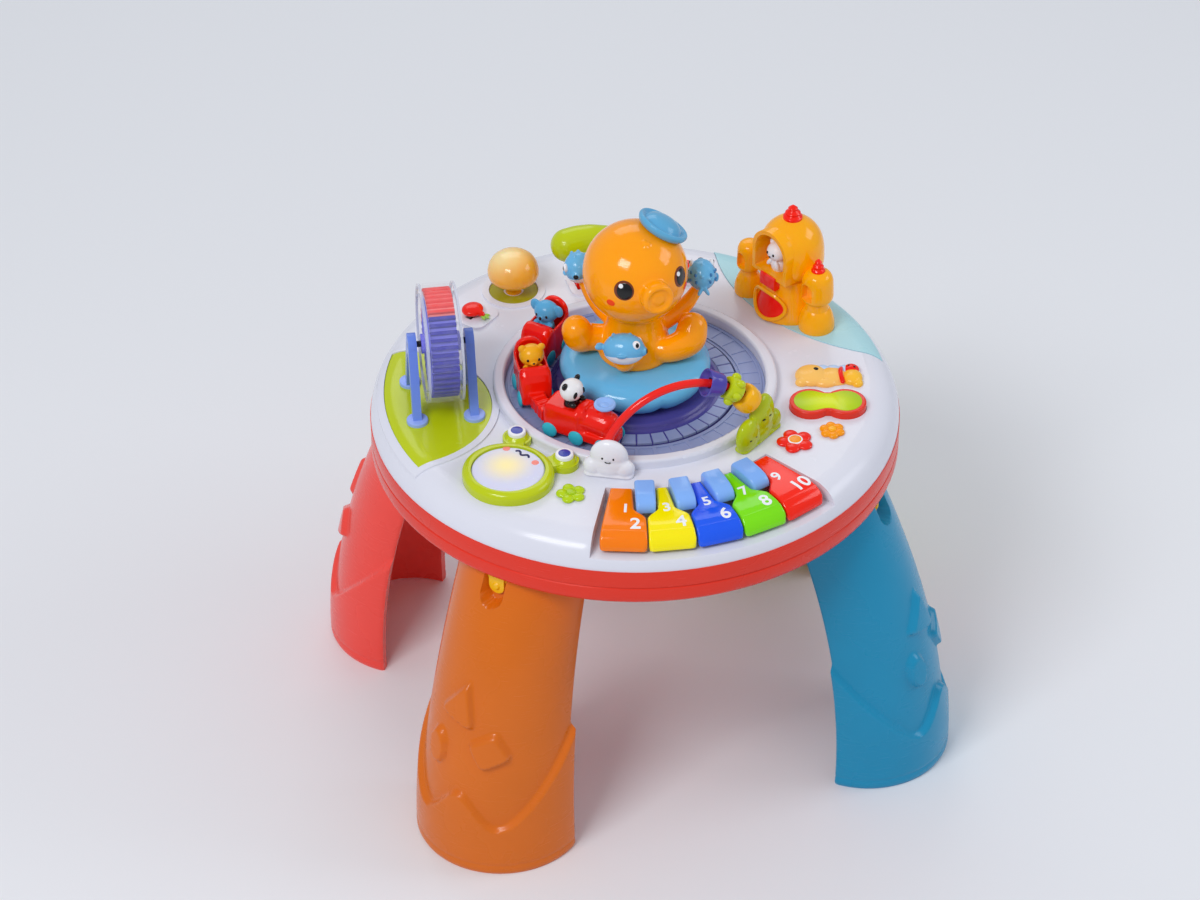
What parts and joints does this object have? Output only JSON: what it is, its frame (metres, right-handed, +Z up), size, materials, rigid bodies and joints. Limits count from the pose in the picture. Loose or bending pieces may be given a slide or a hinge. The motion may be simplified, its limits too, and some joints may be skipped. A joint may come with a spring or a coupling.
{
  "type": "musical activity table",
  "caption": "Round toddler play table on clip-on legs, with a turning octopus and train, big wheel, bead loop, piano keys, push buttons, lever, drum and castle.",
  "frame": {"origin": "on the floor under the middle of the table, between the feet", "axes": "+Z up, -Y to the front where the piano is, +X to the right of a child who faces the piano from the front"},
  "size_m": [0.4544, 0.43, 0.4684],
  "materials": {
    "case_red": "smooth gloss moulded plastic",
    "deck_white": "smooth gloss moulded plastic",
    "leg_orange": "smooth gloss moulded plastic",
    "leg_blue": "smooth gloss moulded plastic",
    "leg_red": "smooth gloss moulded plastic",
    "leg_lime": "smooth gloss moulded plastic",
    "latch_yellow": "smooth gloss moulded plastic",
    "screw_steel": "zinc plated",
    "motor_steel": "drawn can",
    "speaker_black": "moulded basket and paper cone",
    "board_green": "printed circuit board",
    "gear_white": "acetal",
    "track_blue": "satin moulded plastic",
    "disc_indigo": "smooth gloss moulded plastic",
    "cushion_blue": "smooth gloss moulded plastic",
    "octopus_orange": "smooth gloss moulded plastic",
    "cap_blue": "smooth gloss moulded plastic",
    "fish_blue": "smooth gloss moulded plastic",
    "train_red": "smooth gloss moulded plastic",
    "wheel_teal": "smooth gloss moulded plastic",
    "rider_white": "smooth gloss moulded plastic",
    "clear_plastic": "clear moulded plastic",
    "insert_red": "smooth gloss moulded plastic",
    "axle_grey": "moulded pin",
    "frame_periwinkle": "smooth gloss moulded plastic",
    "lime": "smooth gloss moulded plastic",
    "panel_pale_blue": "smooth gloss moulded plastic",
    "castle_yellow": "smooth gloss moulded plastic",
    "trim_red": "smooth gloss moulded plastic",
    "cloud_white": "smooth gloss moulded plastic",
    "bead_purple": "smooth gloss moulded plastic",
    "bead_yellow": "smooth gloss moulded plastic",
    "tube_red": "smooth gloss moulded plastic",
    "mushroom_amber": "translucent moulded plastic",
    "drum_milky": "translucent moulded plastic",
    "animal_tan": "smooth gloss moulded plastic",
    "key_orange": "smooth gloss moulded plastic",
    "key_yellow": "smooth gloss moulded plastic",
    "key_blue": "smooth gloss moulded plastic",
    "key_red": "smooth gloss moulded plastic",
    "short_key_blue": "smooth gloss moulded plastic"
  },
  "bodies": {
    "table": {"lower_shell": "case_red", "top_shell": "deck_white", "leg_front_left": "leg_orange", "leg_front_right": "leg_blue", "leg_rear_left": "leg_red", "leg_rear_right": "leg_lime", "battery_door": "case_red", "screws": "screw_steel", "speaker": "speaker_black", "circuit_board": "board_green", "drive_motor": "motor_steel", "track_ring": "track_blue", "ferris_frames": "frame_periwinkle", "ferris_panel": "lime", "castle_panel": "panel_pale_blue", "castle_body": "castle_yellow", "castle_trim": "trim_red", "castle_kitten": "rider_white", "cloud_post": "cloud_white", "hill_post": "lime", "loop_tube": "tube_red", "short_keys": "short_key_blue", "song_animal": "animal_tan", "small_flowers": "key_orange", "frog_rim": "lime"},
    "carousel": {"turntable": "disc_indigo", "table_gear": "gear_white", "cushion": "cushion_blue", "octopus_body": "octopus_orange", "octopus_head": "octopus_orange", "octopus_cap": "cap_blue", "pufferfish": "fish_blue", "locomotive": "train_red", "wagons": "train_red", "train_wheels": "wheel_teal", "train_animals": "rider_white"},
    "pinion": {"motor_pinion": "gear_white"},
    "big_wheel": {"ferris_drum": "clear_plastic", "ferris_insert": "insert_red", "ferris_axle": "axle_grey"},
    "mushroom": {"mushroom_dome": "mushroom_amber"},
    "rear_press": {"rear_button": "trim_red"},
    "lever": {"lever_stem": "trim_red", "lever_grip": "lime"},
    "switch": {"switch_knob": "trim_red"},
    "song_press": {"song_plate": "trim_red"},
    "flower_press": {"flower_red": "trim_red"},
    "drum_press": {"frog_drum": "drum_milky"},
    "bead_a": {"bead_purple": "bead_purple"},
    "bead_b": {"bead_lime": "lime"},
    "bead_c": {"bead_yellow": "bead_yellow"},
    "key_1": {"key_1": "key_orange"},
    "key_2": {"key_2": "key_yellow"},
    "key_3": {"key_3": "key_blue"},
    "key_4": {"key_4": "lime"},
    "key_5": {"key_5": "key_red"},
    "latch_front_left": {"latch_front_left": "latch_yellow"},
    "latch_front_right": {"latch_front_right": "latch_yellow"},
    "latch_rear_left": {"latch_rear_left": "latch_yellow"},
    "latch_rear_right": {"latch_rear_right": "latch_yellow"}
  },
  "joints": [
    {"name": "carousel_spin", "type": "hinge", "parent": "table", "child": "carousel", "pos_m": [0, 0, 0.3063], "axis": [0, 0, 1], "continuous": true},
    {"name": "pinion_spin", "type": "hinge", "parent": "table", "child": "pinion", "pos_m": [-0.05638, -0.02052, 0.29], "axis": [0, 0, 1], "continuous": true},
    {"name": "big_wheel_spin", "type": "hinge", "parent": "table", "child": "big_wheel", "pos_m": [-0.15462, 0.02726, 0.37], "axis": [-0.9848, 0.1736, 0], "continuous": true},
    {"name": "mushroom_push", "type": "slide", "parent": "table", "child": "mushroom", "axis": [0, 0, -1], "range_m": [0, 0.002], "stiffness_N_per_m": 400, "springref_m": -0.004},
    {"name": "rear_button_push", "type": "slide", "parent": "table", "child": "rear_press", "axis": [0, 0, -1], "range_m": [0, 0.002], "stiffness_N_per_m": 400, "springref_m": -0.004},
    {"name": "song_push", "type": "slide", "parent": "table", "child": "song_press", "axis": [0, 0, -1], "range_m": [0, 0.002], "stiffness_N_per_m": 400, "springref_m": -0.004},
    {"name": "flower_push", "type": "slide", "parent": "table", "child": "flower_press", "axis": [0, 0, -1], "range_m": [0, 0.002], "stiffness_N_per_m": 400, "springref_m": -0.004},
    {"name": "drum_push", "type": "slide", "parent": "table", "child": "drum_press", "axis": [0, 0, -1], "range_m": [0, 0.002], "stiffness_N_per_m": 400, "springref_m": -0.004},
    {"name": "lever_tilt", "type": "hinge", "parent": "table", "child": "lever", "pos_m": [0.00637, 0.14586, 0.296], "axis": [-0.999, 0.0436, 0], "range_deg": [-14, 14], "stiffness_Nm_per_rad": 0.35},
    {"name": "switch_slide", "type": "slide", "parent": "table", "child": "switch", "axis": [-0.809, -0.5878, 0], "range_m": [-0.004, 0.004]},
    {"name": "bead_a_slide", "type": "hinge", "parent": "table", "child": "bead_a", "pos_m": [0.0044, -0.102, 0.312], "axis": [0, -1, 0], "range_deg": [0, 74]},
    {"name": "bead_b_slide", "type": "hinge", "parent": "table", "child": "bead_b", "pos_m": [0.0044, -0.102, 0.312], "axis": [0, -1, 0], "range_deg": [0, 74]},
    {"name": "bead_c_slide", "type": "hinge", "parent": "table", "child": "bead_c", "pos_m": [0.0044, -0.102, 0.312], "axis": [0, -1, 0], "range_deg": [0, 74]},
    {"name": "key_1_tip", "type": "hinge", "parent": "table", "child": "key_1", "pos_m": [-0.05382, -0.13733, 0.3014], "axis": [0.9311, -0.3649, 0], "range_deg": [0, 2.6], "stiffness_Nm_per_rad": 0.3, "springref_deg": -11.46},
    {"name": "key_2_tip", "type": "hinge", "parent": "table", "child": "key_2", "pos_m": [-0.02713, -0.14498, 0.3014], "axis": [0.9829, -0.184, 0], "range_deg": [0, 2.6], "stiffness_Nm_per_rad": 0.3, "springref_deg": -11.46},
    {"name": "key_3_tip", "type": "hinge", "parent": "table", "child": "key_3", "pos_m": [0.00052, -0.1475, 0.3014], "axis": [1, 0.0035, 0], "range_deg": [0, 2.6], "stiffness_Nm_per_rad": 0.3, "springref_deg": -11.46},
    {"name": "key_4_tip", "type": "hinge", "parent": "table", "child": "key_4", "pos_m": [0.02814, -0.14479, 0.3014], "axis": [0.9816, 0.1908, 0], "range_deg": [0, 2.6], "stiffness_Nm_per_rad": 0.3, "springref_deg": -11.46},
    {"name": "key_5_tip", "type": "hinge", "parent": "table", "child": "key_5", "pos_m": [0.05478, -0.13695, 0.3014], "axis": [0.9285, 0.3714, 0], "range_deg": [0, 2.6], "stiffness_Nm_per_rad": 0.3, "springref_deg": -11.46},
    {"name": "latch_front_left_push", "type": "slide", "parent": "table", "child": "latch_front_left", "axis": [0.7716, 0.6361, 0], "range_m": [0, 0.0035], "stiffness_N_per_m": 500, "springref_m": -0.003},
    {"name": "latch_front_right_push", "type": "slide", "parent": "table", "child": "latch_front_right", "axis": [-0.7716, 0.6361, 0], "range_m": [0, 0.0035], "stiffness_N_per_m": 500, "springref_m": -0.003},
    {"name": "latch_rear_left_push", "type": "slide", "parent": "table", "child": "latch_rear_left", "axis": [0.7716, -0.6361, 0], "range_m": [0, 0.0035], "stiffness_N_per_m": 500, "springref_m": -0.003},
    {"name": "latch_rear_right_push", "type": "slide", "parent": "table", "child": "latch_rear_right", "axis": [-0.7716, -0.6361, 0], "range_m": [0, 0.0035], "stiffness_N_per_m": 500, "springref_m": -0.003}
  ],
  "couplings": [
    {"joint": "pinion_spin", "follows": "carousel_spin", "ratio": -3},
    {"joint": "bead_b_slide", "follows": "bead_a_slide", "ratio": 1},
    {"joint": "bead_c_slide", "follows": "bead_a_slide", "ratio": 1}
  ]
}
